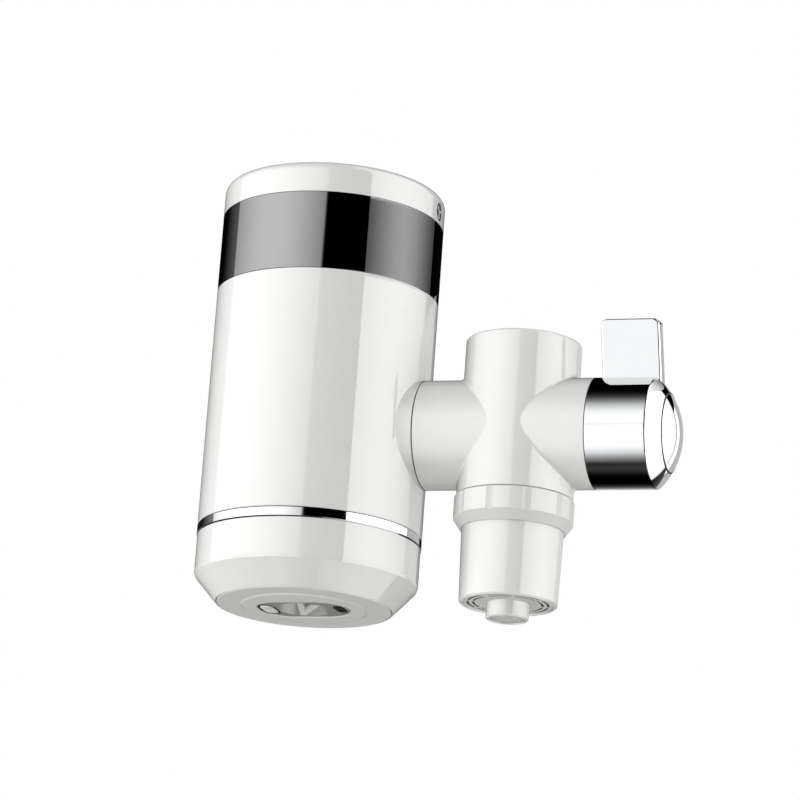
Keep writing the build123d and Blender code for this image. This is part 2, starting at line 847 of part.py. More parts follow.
def make_heater_housing():
    seat = heater_r - band_t - slip / 2
    shoulder = band_low - 3
    high = band_top + spigot_top
    points = [
        (inner_r, ring_top),
        (heater_r - 0.2, ring_top),
        (heater_r, ring_top + 0.2),
        (heater_r, band_low),
        (seat, band_low),
        (seat, band_top),
        (spigot_r, band_top),
        (spigot_r, high),
        (spigot_bore_r, high),
        (spigot_bore_r, shoulder + inner_r - spigot_bore_r),
        (inner_r, shoulder),
    ]
    shell = lathe(points, heater_x)
    boss = bar_x(heater_arm_r, heater_x + heater_r - boss_root, joint_x - seam)
    boss += bar_x(heater_arm_r - 1, joint_x - seam - 1, joint_x)
    pad = block(pad_x, joint_x - wall, -pad_half, pad_half, arm_z - pad_half, arm_z + pad_rise)
    inside = bar_z(inner_r, ring_top, band_low, heater_x)
    housing = shell + (boss - inside) + (pad & inside)
    for side in (-1, 1):
        reach = heater_x + side * (spigot_bore_r + 0.5)
        root = heater_x + side * (heater_r - cap_screw_pocket - cap_screw_len)
        span = sorted((reach, root))
        housing += block(span[0], span[1], -lug_w / 2, lug_w / 2, cap_screw_z() - 2.5, cap_screw_z() + 2.5)
        bore = sorted((root - side, heater_x + side * heater_r))
        housing -= bar_x(cap_screw_shank_r + slip / 2, bore[0], bore[1], 0, cap_screw_z())
    return housing - bar_x(union_r + slip, pad_x - 1, joint_x + 1)


def make_chrome_ring():
    points = [
        (inner_r, base_top),
        (heater_r - 0.3, base_top),
        (heater_r, base_top + 0.3),
        (heater_r, ring_top - 0.3),
        (heater_r - 0.3, ring_top),
        (inner_r, ring_top),
    ]
    return lathe(points, heater_x)


def make_base_cap():
    hole = rosette_r + seam
    spigot = inner_r - slip
    side = heater_r - base_step
    slant = (side - hole - base_land) / base_bevel
    inner_corner = base_corner + wall / 2
    low_inner = spigot - wall + 0.6 - (inner_corner - shelf_z - shelf_t) * slant
    points = [
        (side - 0.2, base_top),
        (side, base_top - 0.2),
        (side, base_corner + 0.5),
        (side - 0.3, base_corner - 0.4),
        (hole + base_land, base_end),
        (hole, base_end),
        (hole, shelf_z),
        (shelf_bore_r, shelf_z),
        (shelf_bore_r, tank_low),
        (shelf_bore_r + support_wall, tank_low),
        (shelf_bore_r + support_wall, shelf_z + shelf_t),
        (low_inner, shelf_z + shelf_t),
        (spigot - wall + 0.6, inner_corner),
        (spigot - wall + 0.6, ring_top + 3),
        (spigot, ring_top + 3),
        (spigot, base_top),
    ]
    return lathe(points, heater_x)


# Underside: the rosette with its swell and oblong mouth, the bright grille in it, and the tank's
# outlet pipe.
def mouth_face(grow=0.0):
    """Outline of the oblong mouth."""
    return SlotOverall(mouth_len + 2 * grow, mouth_width + 2 * grow)


def make_outlet_rosette():
    cup = grille_r + slip
    top = shelf_z + grille_t + grille_spacer + pipe_flange_t
    points = [
        (0, face_z),
        (rosette_r - 0.4, face_z),
        (rosette_r, face_z + 0.4),
        (rosette_r, shelf_z),
        (cup + cup_wall, shelf_z),
        (cup + cup_wall, top),
        (cup, top),
        (cup, shelf_z),
        (0, shelf_z),
    ]
    ball = Pos(heater_x, 0, face_z - swell_rise + swell_ball_r) * Sphere(swell_ball_r)
    swell = bar_z(swell_r, face_z - 2 * swell_rise, face_z + 1, heater_x) & ball
    plate = lathe(points, heater_x) + swell
    mouth = extrude(mouth_face(), 3 * rosette_t).moved(Pos(heater_x, 0, face_z - rosette_t))
    return plate - mouth


def make_outlet_grille():
    low = grille_face_z
    top = shelf_z + grille_t
    grille = extrude(mouth_face(-slip), shelf_z + grille_t / 2 - low).moved(Pos(heater_x, 0, low))
    grille += bar_z(grille_r, shelf_z, top, heater_x)
    grille += ring_z(grille_r, grille_r - grille_rim, shelf_z, top + grille_spacer, heater_x)
    window = bar_z(window_r, low - 1, top + 1, heater_x)
    web = [web_bar(end) & bar_z(window_r + 1, low, low + web_t, heater_x) for end in web_ends]
    grille = grille - window + web
    lens = Ellipse(boss_half[0] + boss_groove, boss_half[1] + boss_groove) - Ellipse(*boss_half)
    grille -= extrude(lens, boss_groove * 4).moved(Pos(heater_x + boss_x, 0, low - boss_groove * 2))
    slot = SlotOverall(side_hole_len, side_hole_w, rotation=90)
    return grille - extrude(slot, 4 * rosette_t).moved(Pos(heater_x + side_hole_x, 0, low - rosette_t))


def web_bar(end):
    """Bar of the grille's web, from where the two bars meet to one end."""
    run = math.hypot(end[0] - web_tip[0], end[1] - web_tip[1])
    turn = math.degrees(math.atan2(end[1] - web_tip[1], end[0] - web_tip[0]))
    bar = Pos(run / 2, 0, 0) * Box(run + 2 * web_w, web_w, 4 * web_t)
    return bar.rotate(Axis.Z, turn).moved(Pos(heater_x + web_tip[0], web_tip[1], grille_face_z))


def pipe_low():
    return shelf_z + grille_t + grille_spacer


def make_outlet_pipe():
    low = pipe_low()
    pipe = bar_z(pipe_r, low, low + pipe_rise, heater_x)
    pipe += bar_z(grille_r, low, low + pipe_flange_t, heater_x)
    pipe -= bar_z(pipe_r - pipe_wall, low - 1, low + pipe_rise + 1, heater_x)
    z = pipe_oring_z()
    half = pipe_groove_w / 2
    return pipe - ring_z(pipe_r + 1, pipe_r - pipe_groove, z - half, z + half, heater_x)


def pipe_oring_z():
    return tank_low - tank_boss_len / 2


def make_pipe_oring():
    wire = (pipe_groove + slip / 2) / 2
    return hoop(pipe_r - pipe_groove + wire, wire, Pos(heater_x, 0, pipe_oring_z()))


# Tank, lid, heating element and what stands on the lid.
def seal_band():
    """Outer and inner radius of the lid seal."""
    return tank_seal_r + tank_seal_w / 2, tank_seal_r - tank_seal_w / 2


def lid_screw_spots():
    return [spot(lid_screw_ring, a, heater_x) for a in around(lid_screw_count, 30)]


def make_tank():
    tank = bar_z(tank_r, tank_low, lid_low, heater_x)
    tank += bar_z(tank_flange_r, lid_low - tank_flange_t, lid_low, heater_x)
    tank += bar_z(tank_boss_r, tank_low - tank_boss_len, tank_low + 1, heater_x)
    side = heater_x + tank_r
    socket = bar_x(socket_r, side + socket_stand - socket_len, side + socket_stand)
    hollow = bar_z(tank_r - tank_wall, tank_low + tank_wall, lid_low + 1, heater_x)
    tank = tank - hollow + socket
    tank -= bar_x(union_r + slip, side - socket_len, side + socket_stand + 1)
    tank -= bar_z(pipe_r + slip, tank_low - tank_boss_len - 1, tank_low + tank_wall + 1, heater_x)
    outer, inner = seal_band()
    tank -= ring_z(outer + slip / 2, inner - slip / 2, lid_low - tank_seal_t, lid_low + 1, heater_x)
    for x, y in lid_screw_spots():
        tank -= bar_z(lid_screw_r + slip / 2, lid_low - 2 * tank_flange_t, lid_low + 1, x, y)
    return tank


def make_tank_seal():
    outer, inner = seal_band()
    return ring_z(outer, inner, lid_low - tank_seal_t, lid_low, heater_x)


def board_posts():
    half_x = board_len / 2 - post_inset
    half_y = board_w / 2 - post_inset
    return [(heater_x + i * half_x, board_y + j * half_y) for i in (-1, 1) for j in (-1, 1)]


def make_tank_lid():
    lid = bar_z(tank_flange_r, lid_low, lid_top, heater_x)
    for x, y in board_posts():
        lid += bar_z(post_r, lid_top - 1, lid_top + board_up, x, y)
    for x, y in lid_screw_spots():
        lid -= bar_z(lid_screw_r + slip, lid_low - 1, lid_top + 1, x, y)
    for side in (-1, 1):
        lid -= bar_z(element_r + slip, lid_low - 1, lid_top + 1, heater_x + side * element_x, -element_y)
    return lid


def make_lid_screws():
    screws = []
    for x, y in lid_screw_spots():
        shank = bar_z(lid_screw_r, lid_top - lid_screw_len, lid_top, x, y)
        head = bar_z(lid_screw_head_r, lid_top, lid_top + lid_screw_head_t, x, y)
        slot = block(-lid_screw_head_r, lid_screw_head_r, -0.4, 0.4, -0.8, 1)
        screws.append(shank + head - slot.moved(Pos(x, y, lid_top + lid_screw_head_t)))
    return Compound(screws)


def make_heating_element():
    top = lid_top + element_tail
    low = lid_low - element_low
    high = lid_low - element_high
    bend = element_y
    left = heater_x - element_x
    right = heater_x + element_x
    path = [Line((left, -bend, top), (left, -bend, low + bend))]
    path.append(ThreePointArc((left, -bend, low + bend), (left, 0, low), (left, bend, low + bend)))
    path.append(Line((left, bend, low + bend), (left, bend, high - element_x)))
    shoulder = high - element_x
    path.append(ThreePointArc((left, bend, shoulder), (heater_x, bend, high), (right, bend, shoulder)))
    path.append(Line((right, bend, high - element_x), (right, bend, low + bend)))
    path.append(ThreePointArc((right, bend, low + bend), (right, 0, low), (right, -bend, low + bend)))
    path.append(Line((right, -bend, low + bend), (right, -bend, top)))
    section = Plane((left, -bend, top), z_dir=(0, 0, -1)) * Circle(element_r)
    return sweep(section, Wire(path))


def make_element_terminals():
    pins = []
    top = lid_top + element_tail
    for side in (-1, 1):
        x = heater_x + side * element_x
        pin = bar_z(terminal_r, top, top + terminal_len, x, -element_y)
        pins.append(pin + bar_z(element_r, top, top + 1, x, -element_y))
    return Compound(pins)


def make_element_bushes():
    bushes = []
    for side in (-1, 1):
        x = heater_x + side * element_x
        bushes.append(ring_z(bush_r, element_r + slip, lid_top, lid_top + bush_t, x, -element_y))
    return Compound(bushes)


def make_thermal_cutout():
    body = bar_z(cutout_r, lid_top, lid_top + cutout_h, heater_x, cutout_y)
    for side in (-1, 1):
        x = heater_x + side * tab_x
        y1 = cutout_y - tab_w / 2
        y2 = cutout_y + tab_w / 2
        tab = block(x - tab_t / 2, x + tab_t / 2, y1, y2, lid_top + cutout_h - 1, lid_top + cutout_h + tab_h)
        body += tab
    return body


def block_spots():
    """The three ways of the terminal block."""
    return [(heater_x + i * block_len / 3, block_y) for i in (-1, 0, 1)]


def make_terminal_block():
    half = block_len / 2
    front = block_y - block_w / 2
    top = lid_top + block_h
    body = block(heater_x - half, heater_x + half, front, front + block_w, lid_top, top)
    for x, y in block_spots():
        body -= bar_z(block_screw_r + slip, lid_top + block_floor, top + 1, x, y)
    return body


def make_terminal_screws():
    screws = []
    for x, y in block_spots():
        screw = bar_z(block_screw_r, lid_top + block_floor, lid_top + block_h - 1, x, y)
        slot = block(-block_screw_r, block_screw_r, -0.35, 0.35, -0.8, 1)
        screws.append(screw - slot.moved(Pos(x, y, lid_top + block_h - 1)))
    return Compound(screws)


def make_control_board():
    low = lid_top + board_up
    left = heater_x - board_len / 2
    front = board_y - board_w / 2
    return block(left, left + board_len, front, front + board_w, low, low + board_t)


def make_power_relay():
    low = lid_top + board_up + board_t
    x1 = heater_x - board_len / 2 + post_inset
    y = board_y + relay_shift
    body = block(x1, x1 + relay_len, y - relay_w / 2, y + relay_w / 2, low, low + relay_h)
    return fillet(body.edges().filter_by(Axis.Z), 0.8)


def make_inner_leads():
    leads = []
    front = block_y + block_w / 2 - 1.5
    rise = lid_top + block_h
    pin_top = lid_top + element_tail + terminal_len
    for side in (-1, 1):
        x = heater_x + side * block_len / 3
        pin_x = heater_x + side * element_x
        route = [(x, front, rise), (x, front, rise + lead_arch), (pin_x, -element_y, rise + lead_arch)]
        route.append((pin_x, -element_y, pin_top))
        path = FilletPolyline(*route, radius=2.4)
        section = Plane(route[0], z_dir=(0, 0, 1)) * Circle(lead_r)
        leads.append(sweep(section, path))
    return Compound(leads)


makers = {
    "valve_body": make_valve_body,
    "inlet_insert": make_inlet_insert,
    "inlet_washer": make_inlet_washer,
    "inlet_screen": make_inlet_screen,
    "cartridge_seal": make_cartridge_seal,
    "fixed_disc": make_fixed_disc,
    "moving_disc": make_moving_disc,
    "valve_stem": make_valve_stem,
    "cartridge_housing": make_cartridge_housing,
    "stem_oring": make_stem_oring,
    "cartridge_nut": make_cartridge_nut,
    "lever_handle": make_lever_handle,
    "index_cap": make_index_cap,
    "handle_screw": make_handle_screw,
    "outlet_collar": make_outlet_collar,
    "outlet_washer": make_outlet_washer,
    "outlet_sleeve": make_outlet_sleeve,
    "stream_tube": make_stream_tube,
    "spray_plate": make_spray_plate,
    "stream_nozzle": make_stream_nozzle,
    "nozzle_mesh": make_nozzle_mesh,
    "union_tube": make_union_tube,
    "union_orings": make_union_orings,
    "union_nut": make_union_nut,
    "flow_piston": make_flow_piston,
    "flow_magnet": make_flow_magnet,
    "flow_spring": make_flow_spring,
    "spring_clip": make_spring_clip,
    "reed_switch": make_reed_switch,
    "top_cap": make_top_cap,
    "cap_screws": make_cap_screws,
    "cable_gland": make_cable_gland,
    "gland_nut": make_gland_nut,
    "dark_band": make_dark_band,
    "heater_housing": make_heater_housing,
    "chrome_ring": make_chrome_ring,
    "base_cap": make_base_cap,
    "outlet_rosette": make_outlet_rosette,
    "outlet_grille": make_outlet_grille,
    "outlet_pipe": make_outlet_pipe,
    "pipe_oring": make_pipe_oring,
    "tank": make_tank,
    "tank_seal": make_tank_seal,
    "tank_lid": make_tank_lid,
    "lid_screws": make_lid_screws,
    "heating_element": make_heating_element,
    "element_terminals": make_element_terminals,
    "element_bushes": make_element_bushes,
    "thermal_cutout": make_thermal_cutout,
    "terminal_block": make_terminal_block,
    "terminal_screws": make_terminal_screws,
    "control_board": make_control_board,
    "power_relay": make_power_relay,
    "inner_leads": make_inner_leads,
}

for name, maker in makers.items():
    export_step(maker(), f"parts/{name}.step")
print(len(makers), "parts written")
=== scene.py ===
import math

import bpy
import numpy as np
from mathutils import Matrix, Vector


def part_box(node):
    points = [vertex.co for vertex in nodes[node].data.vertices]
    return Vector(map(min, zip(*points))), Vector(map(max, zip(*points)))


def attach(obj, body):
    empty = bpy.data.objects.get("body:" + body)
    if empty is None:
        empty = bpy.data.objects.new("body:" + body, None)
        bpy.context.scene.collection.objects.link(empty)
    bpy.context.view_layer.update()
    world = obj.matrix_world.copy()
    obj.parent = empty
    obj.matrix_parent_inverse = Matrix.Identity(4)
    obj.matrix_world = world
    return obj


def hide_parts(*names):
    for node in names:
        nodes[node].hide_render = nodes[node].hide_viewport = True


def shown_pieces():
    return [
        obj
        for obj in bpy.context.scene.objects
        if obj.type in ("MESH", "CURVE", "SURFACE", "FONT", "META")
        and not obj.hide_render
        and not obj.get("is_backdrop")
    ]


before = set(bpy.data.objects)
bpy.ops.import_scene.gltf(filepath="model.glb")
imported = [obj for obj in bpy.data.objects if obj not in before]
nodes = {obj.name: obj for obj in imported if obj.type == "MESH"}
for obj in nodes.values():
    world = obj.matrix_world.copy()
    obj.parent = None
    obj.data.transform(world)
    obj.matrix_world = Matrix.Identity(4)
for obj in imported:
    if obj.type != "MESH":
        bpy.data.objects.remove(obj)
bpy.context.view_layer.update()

# Valve body: one white ABS moulding, an upright tube crossed by two arms. It comes polished out of the
# tool, and the inlet at its top screws up on to the kitchen spout.


def linear(code):
    """sRGB hex colour as linear red, green, blue and alpha."""
    s = np.array([int(code[i : i + 2], 16) for i in (1, 3, 5)]) / 255
    return (*np.where(s <= 0.04045, s / 12.92, ((s + 0.055) / 1.055) ** 2.4), 1.0)


def add(tree, kind, links=None, **settings):
    """Adds a node. A setting is a property of the node, or else one of its inputs, with _ for a space."""
    node = tree.nodes.new("ShaderNode" + kind)
    for key, value in settings.items():
        if hasattr(node, key):
            setattr(node, key, value)
        else:
            node.inputs[key.replace("_", " ")].default_value = value
    for key, source in (links or {}).items():
        tree.links.new(source, node.inputs[key])
    return node


def finish_of(name, colour, rough, grain, metal=0.0, vary=0.03, stir=0.03, peel=0.0, **shader):
    """Material of one finish. Noise of the real grain, in mm along X, Y and Z, lightens and darkens the
    colour by vary, moves the roughness by stir, and lifts the skin by peel, in mm."""
    made = bpy.data.materials.new(name)
    made.use_nodes = True
    tree = made.node_tree
    tree.nodes.clear()
    grain = grain if isinstance(grain, tuple) else (grain,) * 3
    place = add(tree, "TexCoord").outputs["Object"]
    place = add(tree, "Mapping", {"Vector": place}, Scale=[1000 / size for size in grain]).outputs["Vector"]
    noise = add(tree, "TexNoise", {"Vector": place}, Scale=1.0, Detail=3.0, Roughness=0.6)
    tone = add(tree, "ValToRGB", {"Fac": noise.outputs["Fac"]}, name="tone")
    plain = np.array(linear(colour)[:3])
    for stop, level, share in zip(tone.color_ramp.elements, (0.3, 0.7), (1 - vary, 1 + vary)):
        stop.position = level
        stop.color = (*np.minimum(plain * share, 1.0), 1.0)
    low, high = max(rough - stir, 0.0), rough + stir
    spread = add(tree, "MapRange", {"Value": noise.outputs["Fac"]}, To_Min=low, To_Max=high)
    links = {"Base Color": tone.outputs["Color"], "Roughness": spread.outputs["Result"]}
    if peel:
        bump = add(tree, "Bump", {"Height": noise.outputs["Fac"]}, Strength=1.0, Distance=peel / 1000)
        links["Normal"] = bump.outputs["Normal"]
    skin = add(tree, "BsdfPrincipled", links, name="skin", Metallic=metal, **shader)
    add(tree, "OutputMaterial", {"Surface": skin.outputs["BSDF"]})
    return made


def dress(material, *names):
    """Gives CAD nodes a material in place of their own."""
    for name in names:
        mesh = nodes[name].data
        mesh.materials.clear()
        mesh.materials.append(material)


# Polished white ABS. Its clear gloss gives the lamps' panels back with sharp edges over a soft, slightly
# warm white.
white_abs = finish_of(
    "moulded_abs_white", "#e9e9e7", 0.45, 6.0, vary=0.008, stir=0.03, IOR=1.5,
    Specular_IOR_Level=0.2, Coat_Weight=1.0, Coat_Roughness=0.015, Coat_IOR=1.9,
)
dress(white_abs, "valve_body")

# Inlet: a turned brass insert holds the spout's thread. A flat rubber washer seals on the spout, and a
# punched steel screen lies under it.

# Brass straight from the lathe: fine rings round the inlet's axis, so that its highlights streak.
brass = finish_of(
    "turned_brass", "#c8a662", 0.24, (6.0, 6.0, 0.25), metal=1.0, vary=0.05, stir=0.06, peel=0.004
)
dress(brass, "inlet_insert", "valve_stem", "cartridge_nut")
# Moulded nitrile rubber: nearly black and dull, with a faint bloom.
rubber = finish_of("black_rubber", "#1b1b1c", 0.72, 0.6, vary=0.12, stir=0.08, peel=0.01)
dress(rubber, "inlet_washer", "cartridge_seal", "stem_oring", "outlet_washer", "union_orings", "pipe_oring")
# Drawn stainless steel: brush lines 0.35 mm apart run along the sheet and soften what it mirrors.
steel = finish_of(
    "brushed_steel", "#b9bab8", 0.28, (0.35, 8.0, 8.0), metal=1.0, vary=0.05, stir=0.07, peel=0.003
)
dress(steel, "inlet_screen", "tank", "tank_lid", "heating_element")

# Cartridge: two lapped ceramic discs in a plastic cage that slides into the end of the lever's arm. The
# inner disc is fixed, and the stem turns the outer one.

# Lapped alumina: the discs shine like glass, and their grain is too fine to see.
dress(finish_of("alumina_white", "#ebe8e0", 0.18, 0.8, vary=0.02, stir=0.04), "fixed_disc")
dress(finish_of("alumina_grey", "#7b7e83", 0.16, 0.8, vary=0.05, stir=0.04), "moving_disc")
# Moulded acetal: waxy, a little see-through at the edges.
acetal = finish_of(
    "acetal_white", "#dcdcd4", 0.38, 2.5, vary=0.02, stir=0.05, peel=0.003,
    Subsurface_Weight=0.1, Subsurface_Radius=(0.002, 0.002, 0.002),
)
dress(acetal, "cartridge_housing", "stream_tube", "flow_piston", "spring_clip", "terminal_block")

# Lever: a polished and chromed zinc casting, a hub with a flat blade on top. A screw holds it on the stem,
# and a domed cap of the same finish hides the screw.

# Bright chrome plate: a clean mirror, faintly blue beside the white plastic.
chrome = finish_of("chrome_plate", "#e6e7e8", 0.03, 4.0, metal=1.0, vary=0.01, stir=0.008)
dress(chrome, "lever_handle", "index_cap")
# Zinc passivate on small screws: grey, with a fine crystal bloom.
zinc = finish_of("zinc_plate", "#a7abb0", 0.3, 0.5, metal=1.0, vary=0.08, stir=0.08, peel=0.003)
dress(zinc, "handle_screw", "cap_screws", "lid_screws", "element_terminals", "terminal_screws")

# Cap's edge: a thin ring of black nylon fills the joint between the domed cap and the hub; its black is
# painted shade in the joint. It stands a little proud of the dome, so that the joint shows as a fine
# black line, and it turns with the lever.
arm_z = -28.3
dome_r, dome_x = 22.98, 26.92
seam_r, seam_w = 11.9, 0.6
seam_crown, seam_edge, seam_depth = 0.08, 0.05, 0.1


def surface(name, points, material, body):
    """Closed piece over a grid of points in mm: row i joins row i + 1 and the last row joins the first,
    and so do the columns. The sum of a . (b x c) over the faces is six times the volume, and where it is
    negative the faces are turned round."""
    rows, columns = points.shape[:2]
    index = np.arange(rows * columns).reshape(rows, columns)
    down, along = np.roll(index, -1, 0), np.roll(index, -1, 1)
    faces = np.stack([index, down, np.roll(down, -1, 1), along], -1).reshape(-1, 4)
    flat = points.reshape(-1, 3) / 1000
    a, b, c, d = (flat[faces[:, i]] for i in range(4))
    if (np.cross(b, c) * a + np.cross(c, d) * a).sum() < 0:
        faces = faces[:, ::-1]
    mesh = bpy.data.meshes.new(name)
    mesh.from_pydata(flat.tolist(), [], faces.tolist())
    mesh.polygons.foreach_set("use_smooth", np.ones(len(faces), bool))
    mesh.materials.append(material)
    piece = bpy.data.objects.new(name, mesh)
    bpy.context.scene.collection.objects.link(piece)
    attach(piece, body)
    return piece


def lathed(along, radius, axis):
    """Grid of a closed profile turned about the arms' level axis, "x", or the tube's upright one, "z": each
    profile point, at a distance along the axis and a radius from it, goes round a circle in the other two
    directions."""
    turn = np.linspace(0, 2 * np.pi, 144, endpoint=False)[None, :]
    along, radius = np.asarray(along, float)[:, None], np.asarray(radius, float)[:, None]
    line, first, second = along + 0 * turn, radius * np.cos(turn), radius * np.sin(turn)
    return np.stack([line, first, arm_z + second] if axis == "x" else [first, second, line], -1)


# Moulded black nylon: dull, with a fine grain. It also serves as painted shade in the rings and fills that
# darken joints, slots and grooves.
black_nylon_and_shade = finish_of("black_nylon_and_shade", "#151516", 0.5, 0.7, vary=0.1, stir=0.08, peel=0.004)
# The dome is part of a ball about dome_x. The ring's profile goes along its outside, edge, crown and edge,
# and back again underneath.
lean = np.arcsin(seam_r / dome_r) + np.array([-0.5, 0.0, 0.5, 0.5, 0.0, -0.5]) * seam_w / dome_r
level = dome_r + np.array([seam_edge, seam_crown, seam_edge, -seam_depth, -seam_depth, -seam_depth])
grid = lathed(dome_x + level * np.cos(lean), level * np.sin(lean), "x")
surface("cap_seam_shade", grid, black_nylon_and_shade, "lever")

# Thrust ring: a thin washer of black nylon between the arm and the hub, nearly level with both. It keeps
# the chrome off the white plastic, and its black is painted shade in the gap, which shows as a fine
# dark line.
hub_gap_radii = (15.0, 16.82)
slack = 0.04


def flat_ring(name, radii, ends, axis, material):
    """Ring that a rectangle makes when it is turned about an axis. The rectangle lies between two radii,
    and between two ends along the axis, in mm."""
    inner, outer = radii
    low, high = ends
    grid = lathed((low, low, high, high), (inner, outer, outer, inner), axis)
    surface(name, grid, material, "valve_and_heater")


arm_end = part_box("valve_body")[1].x * 1000
hub_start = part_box("lever_handle")[0].x * 1000
hub_gap_ends = (arm_end + slack, hub_start - slack)
flat_ring("hub_gap_shade_ring", hub_gap_radii, hub_gap_ends, "x", black_nylon_and_shade)

# Outlet: a grooved collar screws the outlet on to the valve, a tapered sleeve hangs in it, and the spray
# plate and the stream nozzle close its end. All are white ABS, with a steel mesh in the nozzle.
groove_edge_r, land_r = 17.93, 17.985
groove_rough, land_rough = 0.5, 0.02
groove_painted_shade = 0.84


def by_reach(material, middle_x, edges, shades, roughs=None):
    """Lets a finish follow the distance from the upright axis at middle_x: from the first of the edges to
    the second, in mm, its tone goes from one of the shades to the other, and so may its roughness. The
    tone is painted shade: it darkens the collar's grooves and the grille's plate."""
    tree = material.node_tree
    skin, tone = tree.nodes["skin"], tree.nodes["tone"]
    place = add(tree, "TexCoord").outputs["Object"]
    middle = (-middle_x / 1000, 0.0, 0.0)
    flat = add(tree, "Mapping", {"Vector": place}, Location=middle, Scale=(1.0, 1.0, 0.0))
    reach = add(tree, "VectorMath", {0: flat.outputs["Vector"]}, operation="LENGTH").outputs["Value"]
    span = {"From_Min": edges[0] / 1000, "From_Max": edges[1] / 1000}
    shade = add(tree, "MapRange", {"Value": reach}, To_Min=shades[0], To_Max=shades[1], **span)
    mixed = {0: tone.outputs["Color"], "Scale": shade.outputs["Result"]}
    shaded = add(tree, "VectorMath", mixed, operation="SCALE")
    tree.links.new(shaded.outputs[0], skin.inputs["Base Color"])
    if roughs:
        rough = add(tree, "MapRange", {"Value": reach}, To_Min=roughs[0], To_Max=roughs[1], **span)
        tree.links.new(rough.outputs["Result"], skin.inputs["Roughness"])


dress(white_abs, "outlet_sleeve", "spray_plate", "stream_nozzle")
# The collar's ten grip grooves are spark-eroded in the tool, so they are satin between polished lands,
# and their colour is darkened there as painted shade.
grooved = finish_of("moulded_abs_grooved", "#e9e9e7", 0.45, 6.0, vary=0.008, stir=0.0, IOR=1.9)
by_reach(grooved, 0.0, (groove_edge_r, land_r), (groove_painted_shade, 1.0), (groove_rough, land_rough))
dress(grooved, "outlet_collar")
# Etched stainless mesh: dull, and brighter than the drawn sheet.
etched = finish_of("etched_mesh", "#dadada", 0.5, 0.5, metal=0.5, vary=0.1, stir=0.1, peel=0.005)
dress(etched, "nozzle_mesh")

# Fine mesh: a second, much finer steel mesh is pressed into the etched one's holes, just inside its lower
# face, so that the nozzle's end looks evenly grey.
mesh_low, mesh_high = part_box("nozzle_mesh")
mesh_radii = (0.05, (mesh_high.x - mesh_low.x) / 2 * 1000 - 0.05)
mesh_ends = mesh_low.z * 1000 + np.array([0.03, 0.12])
# Woven from wire too thin to see: pale and even.
woven = finish_of("fine_mesh", "#e6e6e4", 0.5, 0.3, metal=0.1, vary=0.08, stir=0.08, peel=0.005)
flat_ring("fine_mesh", mesh_radii, mesh_ends, "z", woven)

# Spray gauze: a disc of woven nylon lies on the spray plate and keeps grit out of its slots. Three hoops
# of black nylon frame it: they stand in the plate's two rings of slots and in the gap round it, just
# inside its lower face, as painted shade, so that the slots show as fine black arcs.
plate_low, plate_top = (corner.z * 1000 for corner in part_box("spray_plate"))
gauze_radii = (9.2, 13.0)
gauze_ends = plate_top + np.array([0.05, 0.2])
hoop_radii = {"in": (9.97, 10.63), "mid": (11.67, 12.33), "out": (13.31, 13.39)}
hoop_ends = plate_low + np.array([0.05, 0.4])
thread_gap, thread_lift = 3.14, 0.08


def gauze():
    """Black nylon cloth, dull. The product of two sine waves, across and along, lifts the threads where
    they cross. The real threads are 0.1 mm and too fine to show, so these stand thread_gap apart. The
    texture's wave turns 20 radians in each of its units."""
    made = finish_of("nylon_gauze", "#0c0c0d", 0.6, 0.5, vary=0.2, stir=0.05)
    tree = made.node_tree
    place = add(tree, "TexCoord").outputs["Object"]
    scale = 1000 / thread_gap * math.tau / 20
    across = add(tree, "TexWave", {"Vector": place}, Scale=scale, bands_direction="X").outputs["Fac"]
    along = add(tree, "TexWave", {"Vector": place}, Scale=scale, bands_direction="Y").outputs["Fac"]
    lift = add(tree, "Math", {0: across, 1: along}, operation="MULTIPLY")
    bump = add(tree, "Bump", {"Height": lift.outputs[0]}, Strength=1.0, Distance=thread_lift / 1000)
    tree.links.new(bump.outputs["Normal"], tree.nodes["skin"].inputs["Normal"])
    return made


flat_ring("spray_gauze", gauze_radii, gauze_ends, "z", gauze())
for hoop, radii in hoop_radii.items():
    flat_ring("slot_shade_hoop_" + hoop, radii, hoop_ends, "z", black_nylon_and_shade)

# Neck: a plated union tube joins the valve's arm to the heater's tank. A nut clamps it, and a piston with
# a magnet in its bore closes the reed switch when water runs.

# Nickel on brass: a warmer and softer mirror than chrome.
nickel = finish_of(
    "nickel_on_brass", "#bdb8aa", 0.2, (0.3, 6.0, 6.0), metal=1.0, vary=0.04, stir=0.05, peel=0.003
)
dress(nickel, "union_tube", "union_nut")
# Sintered ferrite: dark grey with a coarse, dull grain.
ferrite = finish_of("ferrite", "#47474a", 0.55, 0.4, metal=0.6, vary=0.12, stir=0.08, peel=0.006)
dress(ferrite, "flow_magnet")
# Hard-drawn spring wire: bright, with a fine drawn grain.
wire = finish_of("spring_wire", "#b4b4b4", 0.22, (0.1, 2.0, 2.0), metal=1.0, vary=0.05, stir=0.05)
dress(wire, "flow_spring")
dress(black_nylon_and_shade, "reed_switch", "thermal_cutout")

# Neck seam: a thin ring of black nylon in the joint between the heater's boss and the valve's arm. Its
# black is painted shade, which shows the joint as a hair line.
neck_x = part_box("valve_body")[0].x * 1000
neck_r, neck_proud, neck_depth, neck_half_w = 16.6, 0.04, 0.3, 0.13
neck_radii = (neck_r - neck_depth, neck_r + neck_proud)
neck_ends = (neck_x - neck_half_w, neck_x + neck_half_w)
flat_ring("neck_seam_shade", neck_radii, neck_ends, "x", black_nylon_and_shade)

# Heater: a white tube with a cap at the top and a base at the bottom, all ABS mouldings in the valve's
# finish. A smoked band and a chromed trim ring fill the joints between them.
dress(white_abs, "heater_housing", "top_cap", "base_cap")
# Smoked mirror acrylic: black where the studio is dark, and a grey picture of the lamps elsewhere.
dress(finish_of("smoked_mirror", "#959596", 0.03, 5.0, metal=1.0, vary=0.01, stir=0.01), "dark_band")
# The trim ring is plated plastic, so its mirror is a little softer than the lever's.
dress(finish_of("plated_trim", "#e6e7e8", 0.06, 2.0, metal=1.0, vary=0.01, stir=0.01), "chrome_ring")

